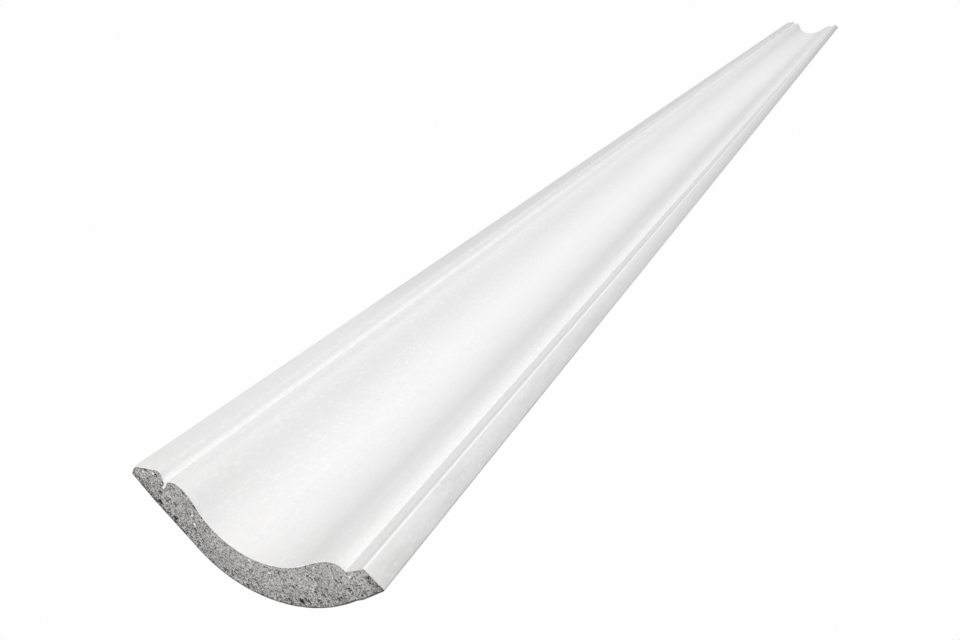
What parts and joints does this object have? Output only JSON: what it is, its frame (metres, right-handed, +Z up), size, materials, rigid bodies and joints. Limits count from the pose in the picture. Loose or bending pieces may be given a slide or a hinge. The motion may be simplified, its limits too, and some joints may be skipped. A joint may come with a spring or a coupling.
{
  "type": "crown moulding length",
  "caption": "Straight length of paper-faced plaster crown moulding, a cove with a beaded wall edge and a stepped ceiling edge, both ends cut square.",
  "frame": {"origin": "middle of the flat that is bonded to the wall, halfway along the length", "axes": "built in: X along the moulding, +Y into the wall, +Z up to the ceiling; the cove faces -Y and -Z"},
  "size_m": [2, 0.0899, 0.0912],
  "materials": {
    "facing_paper": "smooth white lining paper bonded to the core, matt to eggshell, fine fibre and a few specks",
    "plaster_core": "sawn grey gypsum plaster, matt, with open air pores and pale grains, seen on the two cut ends"
  },
  "bodies": {
    "root": {"crown_moulding_length": "facing_paper"}
  },
  "joints": []
}
